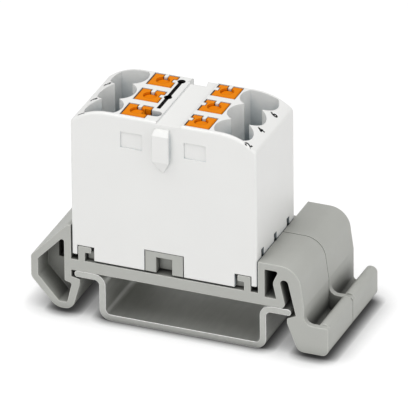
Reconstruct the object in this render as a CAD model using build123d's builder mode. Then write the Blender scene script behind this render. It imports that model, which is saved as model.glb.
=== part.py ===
from build123d import *
import os

# A six-way power distribution block on two rail adapters, clipped on a short top-hat rail.
# X runs across the rail, Y along it from front to back, Z up.
# The origin is the centre of the rail's underside. All lengths are in millimetres.

# Top-hat rail, after the standard 35 x 7.5 section
rail_width = 35.0
rail_height = 7.5
rail_sheet = 1.0
rail_flange = 4.0
rail_bend = 0.8
rail_edge_round = 0.42

# Poles and pitch along the rail
pole_pitch = 5.2
pole_rows = 3
rows_per_adapter = 2
adapter_count = 2
side_gap = 0.18

# Rail adapter: beam that lies on the rail's flanges
rail_play = 0.05
beam_thickness = 1.85
beam_overhang = 0.55
block_side_play = 0.15

# Rail adapter: hollow fixed foot on the left, measured outwards from the beam's end
foot_wall = 1.1
foot_top_z = 15.1
foot_top_width = 0.6
foot_reach = 6.55
foot_shoulder_z = 8.85
foot_heel_z = 5.2
foot_sole_z = 0.7
foot_sole_far = 2.57
foot_toe = 0.12
foot_knee = 1.33
foot_knee_z = 5.15
foot_grip = 1.4
foot_grip_z = 6.1
foot_root_z = 6.38
pocket_depth = 4.0
pocket_round = 0.35
pocket_slot_far = 3.6
pocket_slot_low_z = 7.2
pocket_slot_high_z = 10.4

# Rail adapter: springy foot on the right; "out" is beyond the rail's edge, "in" is short of it
bow_top_z = 14.7
bow_top_out = 1.22
bow_radius = 3.3
bow_wall_out = 2.12
bow_wall_z = 8.1
slit_top_z = 12.35
slit_left_in = 1.84
slit_width = 1.34
slit_round = 0.6
beam_end_in = 0.78
beam_end_round = 0.75
grip_in = 0.6
grip_z = 5.97
grip_nose = 0.8
grip_back_out = 0.83
grip_back_z = 6.62
window_wall = 1.05
window_floor = 1.4
window_top_in = 1.95
window_waist_in = 2.9
window_waist_z = 11.6
window_floor_in = 2.3

# Rail adapter: lever at the end of the springy foot, with a trough behind its front rim
lever_out = 5.97
lever_sole_z = 0.7
lever_sole_out = 1.15
lever_round = 1.0
lever_rim = 0.9
lever_rim_z = 5.38
rim_neck_radius = 1.3
trough_floor_z = 2.8
trough_round = 0.6
ridge_in_out = 4.03
ridge_top_z = 5.65
ridge_round = 0.92

# Rail adapter: L hooks that hold the block
hook_height = 2.48
hook_stem = 1.05
hook_reach = 1.05
hook_arm = 1.0
hook_round = 0.2
hook_inset = 1.05

# Block housing: outline
block_inset = 5.0
block_height = 25.85
shoulder_length = 6.0
shoulder_radius = 9.0
end_round = 0.9
edge_round = 0.4
seat_gap = 0.35

# Block housing: skirt around the adapter's hooks and the cover's latch
end_wall = 0.9
front_wall = 0.8
lip_height = 1.0
slot_play = 0.12
slot_depth = 2.6
latch_play = 0.15
latch_top_play = 0.1

# Block housing: wells and bores for the wires
well_inset = 4.55
well_radius = 2.95
well_depth = 9.0
well_wall = 0.6
funnel_radius = 2.3
funnel_depth = 2.0
bore_radius = 1.45

# Block housing: chambers and channels
chamber_inset = 1.4
chamber_length = 11.4
chamber_wall = 1.2
chamber_height = 5.3
hall_top_z = 15.7

# Block housing: details outside
label_left = -1.1
label_width = 4.0
label_depth = 0.3
rib_width = 2.7
rib_root_width = 2.2
rib_reach = 1.2
rib_bottom = 6.1
rib_length = 4.4
rib_taper = 2.2
rib_cap = 0.7
groove_mouth = 2.3
groove_inside = 2.9
groove_depth = 1.5
groove_length = 8.5
panel_inner = 3.4
panel_width = 3.45
panel_height = 2.6
panel_top = 2.65
panel_depth = 0.2
test_slot_width = 1.7
test_slot_length = 2.1
test_slot_depth = 1.5
snap_window_width = 1.1
snap_window_height = 1.7
snap_window_top_z = 15.9
snap_window_shift = -0.18
snap_window_depth = 1.8

# Release buttons
button_inset = 9.83
button_length = 3.75
button_width = 3.6
button_shift = 0.09
button_play = 0.17
button_rest_gap = 0.05
button_foot_length = 0.85
button_foot_height = 2.1
button_foot_z = 23.4
button_edge = 0.12
dish_radius = 1.05
dish_depth = 0.4
notch_width = 0.8
notch_depth = 0.8
side_notch_width = 0.95
side_notch_depth = 0.5
side_notch_shift = 0.33
open_notch_width = 1.6
open_notch_depth = 0.85
notch_down = 3.0
guide_play = 0.1
guide_height = 2.5

# Base cover with its two latches
cover_z = 13.5
cover_thickness = 1.0
cover_play = 0.1
claw_inset = 4.3
claw_wall = 0.7
claw_reach = 1.25
claw_lift = 0.15
claw_top_play = 0.05
claw_round = 0.35
snap_arm = 0.7
snap_nose = 0.75
snap_arm_height = 1.2
snap_play = 0.25
latch_width = 6.1
latch_height = 3.8
latch_window = 2.6
latch_bridge = 0.85
latch_setback = 1.5
latch_web = 0.8

# Current bar and clamping springs
bar_sheet = 0.8
bar_bend = 0.5
tab_inset = 3.0
tab_height = 5.4
tab_width = 3.2
tab_gap_top = 0.3
leaf = 0.3
leaf_width = 3.2
leaf_tail_inset = 3.8
leaf_heel_inset = 12.4
leaf_crown_inset = 10.7
leaf_crown_z = 4.6
leaf_bend = 1.6
leaf_tip_z = 1.8
leaf_tip_gap = 0.25

# Levels and places that follow from the sizes above
rail_half = rail_width / 2
adapter_pitch = rows_per_adapter * pole_pitch
total_length = adapter_count * adapter_pitch
adapter_length = adapter_pitch - side_gap
rail_length = total_length - side_gap
front_y = -rail_length / 2
block_depth = pole_rows * pole_pitch - side_gap
back_y = front_y + block_depth
row_y = [front_y - side_gap / 2 + (i + 0.5) * pole_pitch for i in range(pole_rows)]
beam_z = rail_height + rail_play
beam_top_z = beam_z + beam_thickness
skirt_z = beam_top_z + seat_gap
block_top_z = beam_top_z + block_height
block_half = (rail_width - block_inset) / 2
flat_half = block_half - shoulder_length
shoulder_drop = shoulder_radius - (shoulder_radius**2 - shoulder_length**2) ** 0.5
block_end_z = block_top_z - shoulder_drop
left_face_x = -(rail_half + beam_overhang)
block_x = left_face_x + block_side_play + block_half
right_face_x = block_x + block_half + block_side_play
hook_face = block_half - hook_inset
hook_top_z = beam_top_z + hook_height
latch_top_z = beam_top_z + latch_height
well_offset = block_half - well_inset
well_floor_z = block_top_z - well_depth
chamber_top_z = hall_top_z + chamber_height
chamber_out = block_half - chamber_inset
chamber_in = chamber_out - chamber_length
button_offset = block_half - button_inset
claw_wall_in = block_half - claw_inset
claw_bottom_z = beam_top_z + claw_lift
claw_top_z = hook_top_z - hook_arm - claw_top_play
cover_top_z = cover_z + cover_thickness
bar_top_z = cover_top_z + bar_sheet
tab_face = block_half - tab_inset
sides = {"left": -1, "right": 1}

front = Plane.XZ.offset(-front_y)


def block_box(x_low, x_high, y_low, y_high, z_low, z_high, mode=Mode.SUBTRACT):
    """A box given by its limits, with X counted from the middle of the block."""
    centre = (block_x + (x_low + x_high) / 2, (y_low + y_high) / 2, (z_low + z_high) / 2)
    with Locations(centre):
        Box(x_high - x_low, y_high - y_low, z_high - z_low, mode=mode)


def side_limits(side, near, far):
    """The limits in X of something between two distances from the middle of the block."""
    return sorted((side * near, side * far))


def make_rail():
    """The top-hat section, bent from one sheet."""
    half_sheet = rail_sheet / 2
    wall_x = rail_half - rail_flange - half_sheet
    flange_z = rail_height - half_sheet
    with BuildPart() as rail:
        with BuildSketch(front):
            with BuildLine():
                FilletPolyline(
                    (-rail_half, flange_z),
                    (-wall_x, flange_z),
                    (-wall_x, half_sheet),
                    (wall_x, half_sheet),
                    (wall_x, flange_z),
                    (rail_half, flange_z),
                    radius=rail_bend + half_sheet,
                )
            trace(line_width=rail_sheet)
        extrude(amount=-rail_length)
        for end in (0, -1):
            tip = rail.faces().filter_by(Axis.X).group_by(Axis.X)[end]
            fillet(tip.edges().filter_by(Axis.Y), rail_edge_round)
    return rail.part


def foot_outline():
    """The solid outline of the fixed foot, as points and the radius at each."""
    face = left_face_x
    points = [
        (face, foot_top_z),
        (face - foot_top_width, foot_top_z),
        (face - foot_reach, foot_shoulder_z),
        (face - foot_reach, foot_heel_z),
        (face - foot_sole_far, foot_sole_z),
        (face + foot_toe, foot_sole_z),
        (face + foot_knee, foot_knee_z),
        (face + foot_grip, foot_grip_z),
        (face, foot_root_z),
    ]
    return points, [0, 0.4, 0.6, 1.2, 2.3, 1.7, 1.5, 0.12, 0]


def lever_rim_outline():
    """The top of the lever where its front rim closes the trough."""
    points = [
        (rail_half + lever_out, lever_rim_z),
        (rail_half + bow_wall_out, lever_rim_z),
        (rail_half + bow_wall_out, bow_wall_z),
    ]
    return points, [0.3, rim_neck_radius, 0]


def lever_trough_outline():
    """The top of the lever behind its rim: a round ridge and a trough along the bow's wall."""
    points = [
        (rail_half + lever_out, ridge_top_z),
        (rail_half + ridge_in_out, ridge_top_z),
        (rail_half + ridge_in_out, trough_floor_z),
        (rail_half + bow_wall_out, trough_floor_z),
        (rail_half + bow_wall_out, bow_wall_z),
    ]
    return points, [ridge_round, ridge_round, 0.3, trough_round, 0]


def adapter_section(plane, lever_outline):
    """The adapter's profile, with its fixed foot still solid."""
    window_z = beam_z + window_floor
    window_left_x = right_face_x + window_wall
    slit_right_x = rail_half - slit_left_in + slit_width
    lever_points, lever_radii = lever_outline()
    with BuildSketch(plane) as section:
        with BuildLine():
            points, radii = foot_outline()
            FilletPolyline(*points, close=True, radius=radii)
        make_face()
        with BuildLine():
            FilletPolyline(
                (right_face_x, beam_z),
                (rail_half - beam_end_in, beam_z),
                (rail_half - slit_left_in, slit_top_z),
                (slit_right_x, slit_top_z),
                (rail_half + grip_back_out, grip_back_z),
                (rail_half - grip_in, grip_z),
                (rail_half - grip_in, grip_z - grip_nose),
                (rail_half + lever_sole_out, lever_sole_z),
                (rail_half + lever_out, lever_sole_z),
                *lever_points,
                (rail_half + bow_top_out, bow_top_z),
                (right_face_x, bow_top_z),
                close=True,
                radius=[0, beam_end_round, slit_round, slit_round, 0, 0.12, 0.5, 1.3, lever_round,
                        *lever_radii, bow_radius, 0],
            )
        make_face()
        with BuildLine():
            FilletPolyline(
                (window_left_x, bow_top_z - window_wall),
                (rail_half - window_top_in, bow_top_z - window_wall),
                (rail_half - window_waist_in, window_waist_z),
                (rail_half - window_floor_in, window_z),
                (window_left_x, window_z),
                close=True,
                radius=[0.1, 0.3, 1.5, 0.15, 0.1],
            )
        make_face(mode=Mode.SUBTRACT)
        with Locations(((left_face_x + right_face_x) / 2, beam_z + beam_thickness / 2)):
            Rectangle(right_face_x - left_face_x, beam_thickness)
        for side in sides.values():
            outer_x = block_x + side * hook_face
            stem_x = block_x + side * (hook_face - hook_stem)
            tip_x = block_x + side * (hook_face - hook_stem - hook_reach)
            with BuildLine():
                FilletPolyline(
                    (outer_x, beam_top_z),
                    (outer_x, hook_top_z),
                    (tip_x, hook_top_z),
                    (tip_x, hook_top_z - hook_arm),
                    (stem_x, hook_top_z - hook_arm),
                    (stem_x, beam_top_z),
                    close=True,
                    radius=[0, hook_round, hook_round, hook_round, hook_round, 0],
                )
            make_face()
    return section.sketch


def foot_pocket(y):
    """The hollow of the fixed foot: its outline drawn in by the wall's thickness."""
    with BuildSketch(Plane.XZ.offset(-y)) as pocket:
        with BuildLine():
            points, radii = foot_outline()
            # The hollow runs straight behind the knee
            del points[6]
            Polyline(*points, close=True)
        make_face()
        offset(amount=-foot_wall, kind=Kind.INTERSECTION, mode=Mode.REPLACE)
        fillet(pocket.vertices(), pocket_round)
    return pocket.sketch


def make_adapter(index):
    """One adapter: rim section in front, trough section behind, a pocket from each end."""
    y_low = front_y + index * adapter_pitch
    y_high = y_low + adapter_length
    y_rim = y_low + lever_rim
    with BuildPart() as adapter:
        extrude(adapter_section(Plane.XZ.offset(-y_low), lever_rim_outline), amount=-lever_rim)
        rest = adapter_section(Plane.XZ.offset(-y_rim), lever_trough_outline)
        extrude(rest, amount=-(adapter_length - lever_rim))
        extrude(foot_pocket(y_low), amount=-pocket_depth, mode=Mode.SUBTRACT)
        extrude(foot_pocket(y_high), amount=pocket_depth, mode=Mode.SUBTRACT)
        # Slot through the web between the pockets
        slot_x = (left_face_x - pocket_slot_far, left_face_x - foot_wall)
        centre = (sum(slot_x) / 2, (y_low + y_high) / 2, (pocket_slot_low_z + pocket_slot_high_z) / 2)
        with Locations(centre):
            Box(slot_x[1] - slot_x[0], adapter_length - pocket_depth,
                pocket_slot_high_z - pocket_slot_low_z, mode=Mode.SUBTRACT)
    return adapter.part


def block_outline():
    """The housing's outline seen from the front, with its arched top."""
    with BuildSketch(front) as outline:
        with BuildLine():
            left = Line((block_x - block_half, skirt_z), (block_x - block_half, block_end_z))
            arc = RadiusArc(left @ 1, (block_x - flat_half, block_top_z), shoulder_radius)
            top = Line(arc @ 1, (block_x + flat_half, block_top_z))
            arc = RadiusArc(top @ 1, (block_x + block_half, block_end_z), shoulder_radius)
            right = Line(arc @ 1, (block_x + block_half, skirt_z))
            Line(right @ 1, left @ 0)
        make_face()
        corners = outline.vertices().group_by(Axis.Y)[1]
        fillet(corners, end_round)
    return outline.sketch


def dovetail(root_y, z, wide, narrow, reach):
    """A dovetail's outline at one level: narrow at its root and wide at its front."""
    with BuildSketch(Plane.XY.offset(z)) as profile:
        with BuildLine():
            Polyline(
                (block_x - narrow / 2, root_y),
                (block_x - wide / 2, root_y - reach),
                (block_x + wide / 2, root_y - reach),
                (block_x + narrow / 2, root_y),
                close=True,
            )
        make_face()
    return profile.sketch


def make_housing():
    """The white housing, with its wells, channels and chambers."""
    skirt_in_y = (front_y + front_wall, back_y - front_wall)
    block_mid_y = (front_y + back_y) / 2
    with BuildPart() as housing:
        extrude(block_outline(), amount=-block_depth)
        rim = housing.faces().filter_by(Axis.Y).edges().filter_by(
            lambda edge: edge.center().Z > skirt_z + seat_gap
        )
        fillet(rim, edge_round)

        # Hall under the chambers, open at the bottom
        inner = block_half - end_wall
        block_box(-inner, inner, *skirt_in_y, skirt_z, hall_top_z)
        for side in sides.values():
            # The end walls stop short of the beam, beside the hooks
            block_box(*side_limits(side, inner, block_half), front_y, back_y,
                      skirt_z, beam_top_z + lip_height)
            # Slots for the L hooks, through the front and back walls
            block_box(*side_limits(side, hook_face - slot_depth, inner), front_y, back_y,
                      skirt_z, hook_top_z + slot_play)
        # Notch for the latches in the front and back walls
        latch_half = latch_width / 2 + latch_play
        block_box(-latch_half, latch_half, front_y, back_y, skirt_z, latch_top_z + latch_top_play)

        half_x = button_length / 2 + button_play
        half_y = button_width / 2 + button_play
        half_chamber = (pole_pitch - chamber_wall) / 2
        half_window = snap_window_width / 2
        foot_z_high = button_foot_z + button_foot_height + button_play
        guide_z = block_top_z - guide_height
        guide_reach = notch_depth - guide_play + button_play
        guide_half = notch_width / 2 - guide_play
        side_guide_reach = side_notch_depth - guide_play + button_play
        side_guide_half = side_notch_width / 2 - guide_play
        inner_x = button_offset - half_x
        for name, side in sides.items():
            shaft = side * button_offset
            for y in row_y:
                button_y = y + button_shift
                # Chamber for one spring and its contact tab
                block_box(*side_limits(side, chamber_in, chamber_out), y - half_chamber, y + half_chamber,
                          hall_top_z, chamber_top_z)
                # Channel of the button, wider below for its foot
                block_box(shaft - half_x, shaft + half_x, button_y - half_y, button_y + half_y,
                          chamber_top_z, block_top_z)
                block_box(*side_limits(side, inner_x - button_foot_length, button_offset),
                          button_y - half_y, button_y + half_y, chamber_top_z, foot_z_high)
                # Guides that stand in the button's notches
                block_box(shaft - guide_half, shaft + guide_half, button_y + half_y - guide_reach,
                          button_y + half_y, guide_z, block_top_z, Mode.ADD)
                if (name, y) != ("left", row_y[0]):
                    guide_y = button_y + side_notch_shift
                    block_box(*side_limits(side, inner_x, inner_x + side_guide_reach),
                              guide_y - side_guide_half, guide_y + side_guide_half,
                              guide_z, block_top_z, Mode.ADD)
                # Window for the base cover's snap
                window_y = y + snap_window_shift
                block_box(*side_limits(side, block_half - snap_window_depth, block_half),
                          window_y - half_window, window_y + half_window,
                          snap_window_top_z - snap_window_height, snap_window_top_z)

        # Wells: three round lobes run together, cut straight by the outer walls
        with BuildSketch(Plane.XY.offset(well_floor_z)):
            for side in sides.values():
                with Locations(*[(block_x + side * well_offset, y) for y in row_y]):
                    Circle(well_radius)
            with Locations((block_x, block_mid_y)):
                Rectangle(2 * block_half, block_depth - 2 * well_wall, mode=Mode.INTERSECT)
        extrude(amount=well_depth, mode=Mode.SUBTRACT)

        # A funnel and a round bore for each wire
        for side in sides.values():
            for y in row_y:
                with Locations((block_x + side * well_offset, y, well_floor_z - funnel_depth / 2)):
                    Cone(bore_radius, funnel_radius, funnel_depth, mode=Mode.SUBTRACT)
                with Locations((block_x + side * well_offset, y, (well_floor_z + chamber_top_z) / 2)):
                    Cylinder(bore_radius, well_floor_z - chamber_top_z, mode=Mode.SUBTRACT)

        # Sunk field for labels, test slot beside the first button, sunk panels in front
        block_box(label_left, label_left + label_width, front_y, back_y,
                  block_top_z - label_depth, block_top_z)
        slot_start = block_x - button_offset + button_length / 2
        slot_round_x = slot_start + test_slot_length - test_slot_width / 2
        slot_y = row_y[0] + button_shift
        with BuildSketch(Plane.XY.offset(block_top_z)):
            with Locations(((slot_start + slot_round_x) / 2, slot_y)):
                Rectangle(slot_round_x - slot_start, test_slot_width)
            with Locations((slot_round_x, slot_y)):
                Circle(test_slot_width / 2)
        extrude(amount=-test_slot_depth, mode=Mode.SUBTRACT)
        for side in sides.values():
            block_box(*side_limits(side, panel_inner, panel_inner + panel_width),
                      front_y, front_y + panel_depth,
                      block_top_z - panel_top - panel_height, block_top_z - panel_top)

        # Groove at the back that takes the next block's rib
        groove = dovetail(back_y, block_top_z, groove_inside, groove_mouth, groove_depth)
        extrude(groove, amount=-groove_length, mode=Mode.SUBTRACT)

        # Rib in front, with a sloped cap and a point below
        rib_low_z = block_top_z - rib_bottom
        rib_high_z = rib_low_z + rib_length
        tip_z = rib_low_z - rib_taper
        cap_z = rib_high_z + rib_cap
        sections = (
            (tip_z, 0.3, 0.3, 0.05),
            (rib_low_z, rib_width, rib_root_width, rib_reach),
            (rib_high_z, rib_width, rib_root_width, rib_reach),
            (cap_z, rib_root_width, rib_root_width, rib_reach / 2),
        )
        profiles = [dovetail(front_y, *section) for section in sections]
        for low, high in zip(profiles, profiles[1:]):
            loft([low, high])
    return housing.part


def make_cover():
    """The cover under the current bar: claws for the hooks, a latch at each end, snaps at the sides."""
    half = block_half - end_wall - cover_play
    y_low = front_y + front_wall + cover_play
    y_high = back_y - front_wall - cover_play
    claw_x = claw_wall_in + claw_wall
    with BuildPart() as cover:
        block_box(-half, half, y_low, y_high, cover_z, cover_top_z, Mode.ADD)
        for side in sides.values():
            block_box(*side_limits(side, claw_wall_in, claw_x), y_low, y_high,
                      claw_bottom_z, cover_z, Mode.ADD)
            block_box(*side_limits(side, claw_x, claw_x + claw_reach), y_low, y_high,
                      claw_bottom_z, claw_top_z, Mode.ADD)
            tip = Vector(block_x + side * (claw_x + claw_reach), (y_low + y_high) / 2, claw_top_z)
            fillet(cover.edges().filter_by(Axis.Y).sort_by_distance(tip)[0], claw_round)
            for y in row_y:
                with BuildSketch(Plane.XZ.offset(-(y + snap_window_shift))):
                    with BuildLine():
                        arm_top = cover_top_z + snap_arm_height
                        Polyline(
                            (block_x + side * (half - snap_arm), cover_top_z),
                            (block_x + side * (half - snap_arm), arm_top),
                            (block_x + side * half, arm_top),
                            (block_x + side * (half + snap_nose), cover_top_z + snap_arm_height / 4),
                            (block_x + side * (half + snap_nose), cover_top_z),
                            (block_x + side * half, cover_top_z),
                            close=True,
                        )
                    make_face()
                extrude(amount=snap_window_width / 2 - snap_play, both=True)

        # Latch: a plate flush with the housing, its web set back in a window open below
        plate_half = latch_width / 2
        window_half = latch_window / 2
        for face_y, inward, edge_y in ((front_y, 1, y_low), (back_y, -1, y_high)):
            web_y = face_y + inward * latch_setback
            root_y = web_y + inward * latch_web
            plate = sorted((face_y, root_y))
            riser = sorted((edge_y, root_y))
            window = sorted((face_y, web_y))
            block_box(-plate_half, plate_half, *plate, skirt_z, latch_top_z, Mode.ADD)
            block_box(-plate_half, plate_half, *riser, latch_top_z, cover_z, Mode.ADD)
            block_box(-window_half, window_half, *window, skirt_z, latch_top_z - latch_bridge)
    return cover.part


def make_bar():
    """The current bar, bent up at both ends and slotted into tabs."""
    wall_x = tab_face + bar_sheet / 2
    base_z = cover_top_z + bar_sheet / 2
    y_low = row_y[0] - tab_width / 2
    y_high = row_y[-1] + tab_width / 2
    with BuildPart() as bar:
        with BuildSketch(Plane.XZ.offset(-y_low)):
            with BuildLine():
                FilletPolyline(
                    (block_x - wall_x, base_z + tab_height),
                    (block_x - wall_x, base_z),
                    (block_x + wall_x, base_z),
                    (block_x + wall_x, base_z + tab_height),
                    radius=bar_bend + bar_sheet / 2,
                )
            trace(line_width=bar_sheet)
        extrude(amount=-(y_high - y_low))
        reach = wall_x + bar_sheet
        for y_near, y_far in zip(row_y, row_y[1:]):
            block_box(-reach, reach, y_near + tab_width / 2, y_far - tab_width / 2,
                      bar_top_z + tab_gap_top, base_z + tab_height)
    return bar.part


def make_spring(side, y):
    """One leaf spring: tail on the bar, bend at the heel and the crown, leg down to the tab."""
    tail_z = bar_top_z + leaf / 2
    with BuildPart() as spring:
        with BuildSketch(Plane.XZ.offset(-(y - leaf_width / 2))):
            with BuildLine():
                FilletPolyline(
                    (block_x + side * (block_half - leaf_tail_inset), tail_z),
                    (block_x + side * (block_half - leaf_heel_inset), tail_z),
                    (block_x + side * (block_half - leaf_crown_inset), tail_z + leaf_crown_z),
                    (block_x + side * (tab_face - leaf_tip_gap), tail_z + leaf_tip_z),
                    radius=leaf_bend,
                )
            trace(line_width=leaf)
        extrude(amount=-leaf_width)
    return spring.part


def make_button(side, row, foot_z):
    """One release button: square shaft, foot that holds it in, dish and two notches on top."""
    beside_test_slot = side < 0 and row == row_y[0]
    x = side * button_offset
    y = row + button_shift
    half_x = button_length / 2
    half_y = button_width / 2
    inner_x = button_offset - half_x
    notch_z = block_top_z - notch_down
    with BuildPart() as button:
        block_box(x - half_x, x + half_x, y - half_y, y + half_y, foot_z, block_top_z, Mode.ADD)
        top = button.faces().sort_by(Axis.Z)[-1]
        chamfer(top.edges(), button_edge)
        block_box(*side_limits(side, inner_x - button_foot_length + button_play, button_offset),
                  y - half_y, y + half_y, button_foot_z, button_foot_z + button_foot_height, Mode.ADD)
        # Dish for the tip of a screwdriver
        with Locations((block_x + x, y, block_top_z)):
            Cylinder(dish_radius, 2 * dish_depth, mode=Mode.SUBTRACT)
        # Notches at the back edge and at the side that faces the middle
        block_box(x - notch_width / 2, x + notch_width / 2, y + half_y - notch_depth, y + half_y,
                  notch_z, block_top_z)
        if beside_test_slot:
            block_box(*side_limits(side, inner_x, inner_x + open_notch_depth),
                      y - open_notch_width / 2, y + open_notch_width / 2, notch_z, block_top_z)
        else:
            notch_y = y + side_notch_shift
            block_box(*side_limits(side, inner_x, inner_x + side_notch_depth),
                      notch_y - side_notch_width / 2, notch_y + side_notch_width / 2,
                      notch_z, block_top_z)
    return button.part


def save(solid, name):
    solid.label = name
    export_step(solid, f"parts/{name}.step")


os.makedirs("parts", exist_ok=True)
save(make_rail(), "mounting_rail")
for index, place in enumerate(("front", "rear")):
    save(make_adapter(index), f"rail_adapter_{place}")
save(make_housing(), "housing")
save(make_cover(), "base_cover")
save(make_bar(), "current_bar")
number = 0
for side in sides.values():
    for y in row_y:
        number += 1
        spring = make_spring(side, y)
        save(spring, f"clamp_spring_{number}")
        button_low_z = spring.bounding_box().max.Z + button_rest_gap
        save(make_button(side, y, button_low_z), f"button_{number}")
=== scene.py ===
import math

import bmesh
import bpy
from mathutils import Matrix, Vector


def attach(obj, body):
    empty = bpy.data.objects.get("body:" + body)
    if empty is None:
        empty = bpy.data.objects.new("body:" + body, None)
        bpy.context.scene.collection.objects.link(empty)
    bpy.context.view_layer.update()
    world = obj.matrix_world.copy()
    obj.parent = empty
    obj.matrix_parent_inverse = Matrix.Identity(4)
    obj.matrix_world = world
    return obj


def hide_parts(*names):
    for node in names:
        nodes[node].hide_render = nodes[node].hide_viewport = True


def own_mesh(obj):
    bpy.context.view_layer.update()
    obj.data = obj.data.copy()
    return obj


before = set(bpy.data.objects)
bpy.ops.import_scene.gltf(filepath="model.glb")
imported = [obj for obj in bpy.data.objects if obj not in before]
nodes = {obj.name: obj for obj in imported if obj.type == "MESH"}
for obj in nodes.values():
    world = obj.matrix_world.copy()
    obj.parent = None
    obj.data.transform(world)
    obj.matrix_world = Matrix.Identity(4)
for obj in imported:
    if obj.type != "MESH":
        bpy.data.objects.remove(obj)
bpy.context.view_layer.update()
scene = bpy.context.scene
MM = 0.001
WHITE = (1.0, 1.0, 1.0)

# Rays that the shading nodes send out from each point
EDGE_SAMPLES = 6
HOLLOW_SAMPLES = 12
FLOOR_SAMPLES = 24

# Places on the block, in millimetres, as in the model
BLOCK_X = -2.9
TOP_Z = 35.25
FLAT_HALF = 9.0
SHOULDER = 9.0
FRONT_Y = -10.31
FRONT_ROUND = 0.4

# The print, in millimetres from the middle of the block
PRINT_LIFT = 0.015
BAR_X, BAR_HALF, BAR_STEPS = -2.4, 0.30, 24
BAR_LOW, BAR_HIGH = -6.05, 3.25
DOT_RADIUS, DOT_SIDES = 0.62, 32
DOT_ROWS = (-2.2, BAR_HIGH)
NUMERAL_SIZE, NUMERAL_WEIGHT, NUMERAL_STRIPS = 1.45, 0.06, 12
NUMERAL_LEFT, NUMERAL_RIGHT = -13.25, 13.65
NUMERAL_ROWS = (-9.85, -4.8, 0.5)


def arch(x):
    """Height of the housing's top at a distance from the middle of the block."""
    past = max(0.0, abs(x) - FLAT_HALF)
    return TOP_Z - SHOULDER + math.sqrt(SHOULDER**2 - past**2)


def front_fall(y):
    """How far the rounded front edge lies below the arch."""
    past = max(0.0, FRONT_Y + FRONT_ROUND - y)
    return FRONT_ROUND - math.sqrt(FRONT_ROUND**2 - past**2)


# Materials
def grey(level):
    return (level,) * 3


def scaled(colour, k):
    return tuple(min(1.0, c * k) for c in colour)


def new_material(name):
    """An empty material with a Principled shader; gives the material, its tree and the shader."""
    mat = bpy.data.materials.new(name)
    mat.use_nodes = True
    tree = mat.node_tree
    tree.nodes.clear()
    out = tree.nodes.new("ShaderNodeOutputMaterial")
    shader = tree.nodes.new("ShaderNodeBsdfPrincipled")
    tree.links.new(shader.outputs["BSDF"], out.inputs["Surface"])
    return mat, tree, shader


def feed(tree, value, socket):
    """Links another node's output to a socket, or sets a number or a colour on it."""
    if isinstance(value, bpy.types.NodeSocket):
        tree.links.new(value, socket)
    elif isinstance(value, tuple):
        socket.default_value = (*value, 1)
    else:
        socket.default_value = value


def combine(tree, operation, first, second):
    """A maths node on two numbers or outputs."""
    node = tree.nodes.new("ShaderNodeMath")
    node.operation = operation
    feed(tree, first, node.inputs[0])
    feed(tree, second, node.inputs[1])
    return node.outputs[0]


def mix(tree, factor, a, b, blend="MIX"):
    """Two colours or outputs, mixed by a factor."""
    node = tree.nodes.new("ShaderNodeMix")
    node.data_type = "RGBA"
    node.blend_type = blend
    feed(tree, factor, node.inputs["Factor"])
    feed(tree, a, node.inputs["A"])
    feed(tree, b, node.inputs["B"])
    return node.outputs["Result"]


def ramp(tree, source, low, high, start=0.3, stop=0.7, middle=None):
    """Turns a value into a colour, from low to high, by way of middle if that is given."""
    node = tree.nodes.new("ShaderNodeValToRGB")
    node.color_ramp.elements[0].position = start
    node.color_ramp.elements[1].position = stop
    node.color_ramp.elements[0].color = (*low, 1)
    node.color_ramp.elements[1].color = (*high, 1)
    if middle:
        node.color_ramp.elements.new((start + stop) / 2).color = (*middle, 1)
    tree.links.new(source, node.inputs["Fac"])
    return node.outputs["Color"]


def noise(tree, scale, detail, stretch=None):
    """Noise in the row frame; stretch lengthens it along an axis, as rolling does to sheet metal."""
    place = tree.nodes.new("ShaderNodeTexCoord")
    source = place.outputs["Object"]
    if stretch:
        mapping = tree.nodes.new("ShaderNodeMapping")
        mapping.inputs["Scale"].default_value = stretch
        tree.links.new(source, mapping.inputs["Vector"])
        source = mapping.outputs["Vector"]
    tex = tree.nodes.new("ShaderNodeTexNoise")
    tex.inputs["Scale"].default_value = scale
    tex.inputs["Detail"].default_value = detail
    tex.inputs["Roughness"].default_value = 0.55
    tree.links.new(source, tex.inputs["Vector"])
    return tex.outputs["Fac"]


def edges(tree, radius, keen):
    """A rounded normal for sharp edges, and a mask that is 1 along them."""
    bevel = tree.nodes.new("ShaderNodeBevel")
    bevel.samples = EDGE_SAMPLES
    bevel.inputs["Radius"].default_value = radius
    geometry = tree.nodes.new("ShaderNodeNewGeometry")
    dot = tree.nodes.new("ShaderNodeVectorMath")
    dot.operation = "DOT_PRODUCT"
    tree.links.new(bevel.outputs["Normal"], dot.inputs[0])
    tree.links.new(geometry.outputs["Normal"], dot.inputs[1])
    mask = tree.nodes.new("ShaderNodeMapRange")
    mask.inputs["From Min"].default_value = 0.995
    mask.inputs["From Max"].default_value = keen
    tree.links.new(dot.outputs["Value"], mask.inputs["Value"])
    return bevel.outputs["Normal"], mask.outputs["Result"]


def grain(tree, height, strength, normal, depth=0.01 * MM):
    """Fine relief laid over the rounded normal."""
    bump = tree.nodes.new("ShaderNodeBump")
    bump.inputs["Strength"].default_value = strength
    bump.inputs["Distance"].default_value = depth
    tree.links.new(height, bump.inputs["Height"])
    tree.links.new(normal, bump.inputs["Normal"])
    return bump.outputs["Normal"]


def openness(tree, reach, samples):
    """How open a place is to the light, 1 in the open and falling towards 0 at a contact."""
    node = tree.nodes.new("ShaderNodeAmbientOcclusion")
    node.samples = samples
    node.inputs["Distance"].default_value = reach
    return node.outputs["AO"]


def shaded(tree, source, low, half, reach, full):
    """Painted shade: the colour drawn darker in seams and deep hollows, low at a contact, half in a
    hollow.
    """
    hollow = openness(tree, reach, HOLLOW_SAMPLES)
    shade = ramp(tree, hollow, low, WHITE, start=0.07, stop=full, middle=half)
    return mix(tree, 1.0, source, shade, "MULTIPLY")


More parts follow.
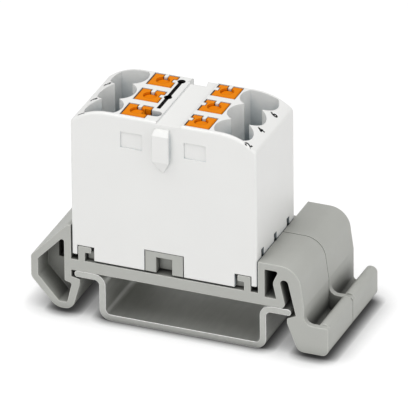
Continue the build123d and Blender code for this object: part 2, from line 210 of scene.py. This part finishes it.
def moulded(name, colour, rough=0.45, painted_edge_tone=1.12, spread=0.02, strength=0.12, radius=0.18 * MM,
            shine=0.5, deep=grey(0.06), half=(0.62, 0.62, 0.61), reach=5 * MM, full=0.75):
    """Injection-moulded plastic: faint flow shading, fine grain, a painted highlight along the edges
    (painted shade where the edge factor is below 1), and painted shade in seams and hollows.
    """
    mat, tree, shader = new_material(name)
    flow = noise(tree, 90, 2)
    body = ramp(tree, flow, scaled(colour, 1 - spread), scaled(colour, 1 + spread / 2))
    normal, mask = edges(tree, radius, keen=0.86)
    # Painted highlight along the edges; an edge factor below 1 paints shade there instead
    skin = mix(tree, mask, body, scaled(colour, painted_edge_tone))
    tree.links.new(shaded(tree, skin, deep, half, reach, full), shader.inputs["Base Color"])
    fine = noise(tree, 2500, 4)
    tree.links.new(grain(tree, fine, strength, normal), shader.inputs["Normal"])
    gloss = ramp(tree, noise(tree, 700, 2), grey(rough - 0.05), grey(rough + 0.05))
    tree.links.new(gloss, shader.inputs["Roughness"])
    shader.inputs["IOR"].default_value = 1.5
    shader.inputs["Specular IOR Level"].default_value = shine
    return mat


def sheet_metal(name, colour, rough, metallic):
    """Rolled sheet with faint streaks along its length, a dull coating and a painted highlight along
    its edges.
    """
    mat, tree, shader = new_material(name)
    streaks = noise(tree, 220, 4, stretch=(6, 1, 6))
    spangle = noise(tree, 400, 2)
    body = ramp(tree, streaks, scaled(colour, 0.95), scaled(colour, 1.04))
    normal, mask = edges(tree, 0.15 * MM, keen=0.92)
    # Painted highlight: the edges are drawn 2.2 times brighter
    tree.links.new(mix(tree, mask, body, scaled(colour, 2.2)), shader.inputs["Base Color"])
    tree.links.new(grain(tree, streaks, 0.15, normal), shader.inputs["Normal"])
    gloss = ramp(tree, spangle, grey(rough - 0.06), grey(rough + 0.06))
    tree.links.new(gloss, shader.inputs["Roughness"])
    shader.inputs["Metallic"].default_value = metallic
    return mat


# In the materials below, deep and half are painted shade in seams and hollows (bluish in the
# housing's wells), and the edge factors paint highlights along edges, and paint shade where they are
# below 1
GREY_PLASTIC = (0.44, 0.445, 0.417)
HOUSING = moulded("housing_plastic", (0.82, 0.82, 0.805), rough=0.42, painted_edge_tone=1.04, spread=0.01,
                  strength=0.08, deep=(0.0, 0.01, 0.02), half=(0.585, 0.67, 0.725),
                  reach=6 * MM, full=0.50)
ADAPTER = moulded("adapter_plastic", GREY_PLASTIC, rough=0.5, painted_edge_tone=1.6, spread=0.03,
                  radius=0.28 * MM)
COVER = moulded("cover_plastic", GREY_PLASTIC, rough=0.5, painted_edge_tone=1.2, spread=0.03)
BUTTON = moulded("button_plastic", (0.79, 0.225, 0.001), rough=0.55, painted_edge_tone=0.3, spread=0.04,
                 radius=0.1 * MM, shine=0.08, deep=(0.12, 0.05, 0.03), half=(0.5, 0.4, 0.4),
                 reach=1.2 * MM, full=0.6)
PRINT = moulded("marking_print", grey(0.004), rough=0.8, painted_edge_tone=1.0, strength=0.3, shine=0.1)
RAIL = sheet_metal("rail_steel", (0.47, 0.475, 0.45), rough=0.42, metallic=0.7)
COPPER = sheet_metal("copper", (0.75, 0.42, 0.28), rough=0.3, metallic=1.0)
SPRING = sheet_metal("spring_steel", (0.62, 0.62, 0.61), rough=0.25, metallic=1.0)

LOOKS = {
    "mounting_rail": RAIL,
    "rail_adapter": ADAPTER,
    "housing": HOUSING,
    "base_cover": COVER,
    "current_bar": COPPER,
    "clamp_spring": SPRING,
    "button": BUTTON,
}
for name, node in nodes.items():
    node.data.materials.clear()
    node.data.materials.append(next(mat for start, mat in LOOKS.items() if name.startswith(start)))


# Springs
def yielding_spring(index):
    """A copy of a spring's mesh, fixed to the block in place of the model's own spring."""
    name, press = f"clamp_spring_{index}", f"button_{index}_press"
    obj = bpy.data.objects.new(f"clamp_leaf_{index}", nodes[name].data.copy())
    scene.collection.objects.link(obj)
    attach(obj, "block")
    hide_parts(name)
    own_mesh(obj)


for number in range(1, 7):
    yielding_spring(number)


# Print on the top
def lay_on_top(obj):
    """Drapes a flat mesh, drawn in X and Y from the middle of the block, over the arched top."""
    for vertex in obj.data.vertices:
        x, y = vertex.co.x, vertex.co.y
        z = arch(x) - front_fall(y) + PRINT_LIFT
        vertex.co = Vector(((x + BLOCK_X) * MM, y * MM, z * MM))


def mesh_object(name, bm, mat):
    """A scene object made from a bmesh, which is freed."""
    mesh = bpy.data.meshes.new(name)
    bm.to_mesh(mesh)
    bm.free()
    obj = bpy.data.objects.new(name, mesh)
    scene.collection.objects.link(obj)
    mesh.materials.append(mat)
    return obj


def circuit_line():
    """The printed line that shows how the poles are joined: a bar with two dots."""
    bm = bmesh.new()
    rows = []
    for i in range(BAR_STEPS + 1):
        y = BAR_LOW + (BAR_HIGH - BAR_LOW) * i / BAR_STEPS
        rows.append([bm.verts.new((BAR_X - BAR_HALF, y, 0)), bm.verts.new((BAR_X + BAR_HALF, y, 0))])
    for a, b in zip(rows, rows[1:]):
        bm.faces.new((a[0], a[1], b[1], b[0]))
    for y in DOT_ROWS:
        turns = [math.tau * side / DOT_SIDES for side in range(DOT_SIDES)]
        bm.faces.new([
            bm.verts.new((BAR_X + DOT_RADIUS * math.cos(t), y + DOT_RADIUS * math.sin(t), 0.0))
            for t in turns
        ])
    obj = mesh_object("circuit_print", bm, PRINT)
    lay_on_top(obj)
    return obj


def numeral(text, x, y):
    """One printed numeral, read along Y with its top to the left, draped over the shoulder."""
    curve = bpy.data.curves.new("numeral", "FONT")
    curve.body = text
    curve.size = NUMERAL_SIZE
    curve.align_x, curve.align_y = "CENTER", "CENTER"
    curve.offset = NUMERAL_WEIGHT
    curve.resolution_u = 6
    maker = bpy.data.objects.new("numeral", curve)
    scene.collection.objects.link(maker)
    bpy.context.view_layer.update()
    written = maker.evaluated_get(bpy.context.evaluated_depsgraph_get())
    cut = bmesh.new()
    cut.from_mesh(bpy.data.meshes.new_from_object(written))
    bpy.data.objects.remove(maker)

    # Cut into strips, so that it can follow the shoulder
    for step in range(1 - NUMERAL_STRIPS // 2, NUMERAL_STRIPS // 2):
        parts = cut.verts[:] + cut.edges[:] + cut.faces[:]
        place = (0, step * NUMERAL_SIZE / NUMERAL_STRIPS, 0)
        bmesh.ops.bisect_plane(cut, geom=parts, plane_co=place, plane_no=(0, 1, 0))
    for vertex in cut.verts:
        across, along = vertex.co.x, vertex.co.y
        vertex.co.x, vertex.co.y = x - along, y + across
    obj = mesh_object(f"numeral_{text}", cut, PRINT)
    lay_on_top(obj)
    return obj


prints = [circuit_line()]
for i, y in enumerate(NUMERAL_ROWS):
    prints.append(numeral(str(2 * i + 1), NUMERAL_LEFT, y))
    prints.append(numeral(str(2 * i + 2), NUMERAL_RIGHT, y))
for obj in prints:
    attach(obj, "block")


# Floor, light and camera
def floor():
    """A plain white floor with a soft painted shadow where the object stands close over it."""
    bm = bmesh.new()
    bmesh.ops.create_grid(bm, x_segments=8, y_segments=8, size=4.0)
    mat, tree, shader = new_material("floor_white")
    wide = combine(tree, "POWER", openness(tree, 5 * MM, FLOOR_SAMPLES), 1.0)
    tight = combine(tree, "POWER", openness(tree, 2 * MM, FLOOR_SAMPLES), 2.6)
    light = combine(tree, "MULTIPLY", wide, tight)

    # The softened painted shadow is only seen; the light that the floor throws back stays plain
    path = tree.nodes.new("ShaderNodeLightPath")
    seen = combine(tree, "MAXIMUM", path.outputs["Is Camera Ray"], path.outputs["Is Glossy Ray"])
    painted_shadow = ramp(tree, light, grey(0.05), grey(0.60), start=0.0, stop=1.0)
    tree.links.new(mix(tree, seen, grey(0.86), painted_shadow), shader.inputs["Base Color"])
    shader.inputs["Roughness"].default_value = 0.9
    shader.inputs["Specular IOR Level"].default_value = 0.0
    # The glow that keeps the floor white is dimmed by the same painted shadow
    glow = tree.nodes.new("ShaderNodeEmission")
    level = ramp(tree, light, grey(0.02), grey(0.48), start=0.0, stop=1.0)
    tree.links.new(combine(tree, "MULTIPLY", seen, level), glow.inputs["Strength"])
    both = tree.nodes.new("ShaderNodeAddShader")
    tree.links.new(shader.outputs["BSDF"], both.inputs[0])
    tree.links.new(glow.outputs["Emission"], both.inputs[1])
    out = next(n for n in tree.nodes if n.type == "OUTPUT_MATERIAL")
    tree.links.new(both.outputs["Shader"], out.inputs["Surface"])
    obj = mesh_object("floor", bm, mat)
    obj.location.z = -0.02 * MM


def sky(strength):
    """A white studio that is seen as white and lights the object at the given strength."""
    world = bpy.data.worlds.new("studio")
    scene.world = world
    world.use_nodes = True
    tree = world.node_tree
    tree.nodes.clear()
    out = tree.nodes.new("ShaderNodeOutputWorld")
    path = tree.nodes.new("ShaderNodeLightPath")
    level = tree.nodes.new("ShaderNodeMapRange")
    level.inputs["To Min"].default_value = strength
    level.inputs["To Max"].default_value = 1.0
    back = tree.nodes.new("ShaderNodeBackground")
    tree.links.new(path.outputs["Is Camera Ray"], level.inputs["Value"])
    tree.links.new(level.outputs["Result"], back.inputs["Strength"])
    back.inputs["Color"].default_value = (*WHITE, 1)
    tree.links.new(back.outputs["Background"], out.inputs["Surface"])


def lamp(name, place, size, watts):
    """A round soft lamp, turned towards the middle of the object."""
    data = bpy.data.lights.new(name, "AREA")
    data.shape = "DISK"
    data.size = size
    data.energy = watts
    obj = bpy.data.objects.new(name, data)
    scene.collection.objects.link(obj)
    obj.location = place
    obj.rotation_mode = "QUATERNION"
    target = Vector((0, 0, 0.015))
    obj.rotation_quaternion = (target - Vector(place)).to_track_quat("-Z", "Y")


def camera():
    """The photograph's viewing angle and framing, as fitted to the rail, housing and buttons."""
    azimuth, elevation, roll = (math.radians(a) for a in (22.10, 28.13, -0.53))
    distance = 1.6667
    flat = math.cos(elevation)
    forward = Vector((-math.sin(azimuth) * flat, math.cos(azimuth) * flat, -math.sin(elevation)))
    level = Vector((math.cos(azimuth), math.sin(azimuth), 0))
    upright = level.cross(forward)
    right = math.cos(roll) * level + math.sin(roll) * upright
    up = math.cos(roll) * upright - math.sin(roll) * level
    aim = (Vector((-2.5, -2.4, 14.0)) + 2.695 * right + 3.327 * up) * MM
    data = bpy.data.cameras.new("camera")
    data.lens = 976.8
    data.sensor_width = 36.0
    data.clip_start, data.clip_end = 0.2, 20.0
    obj = bpy.data.objects.new("camera", data)
    scene.collection.objects.link(obj)
    turn = Matrix((right, up, -forward)).transposed().to_4x4()
    obj.matrix_world = Matrix.Translation(aim - forward * distance) @ turn
    scene.camera = obj


floor()
sky(0.45)
lamp("key", (-0.08, -0.09, 0.42), 0.44, 1.07)
lamp("front", (-0.05, -0.40, 0.12), 0.26, 0.25)
lamp("side", (0.32, -0.07, 0.22), 0.34, 0.39)
camera()
scene.view_settings.view_transform = "Standard"
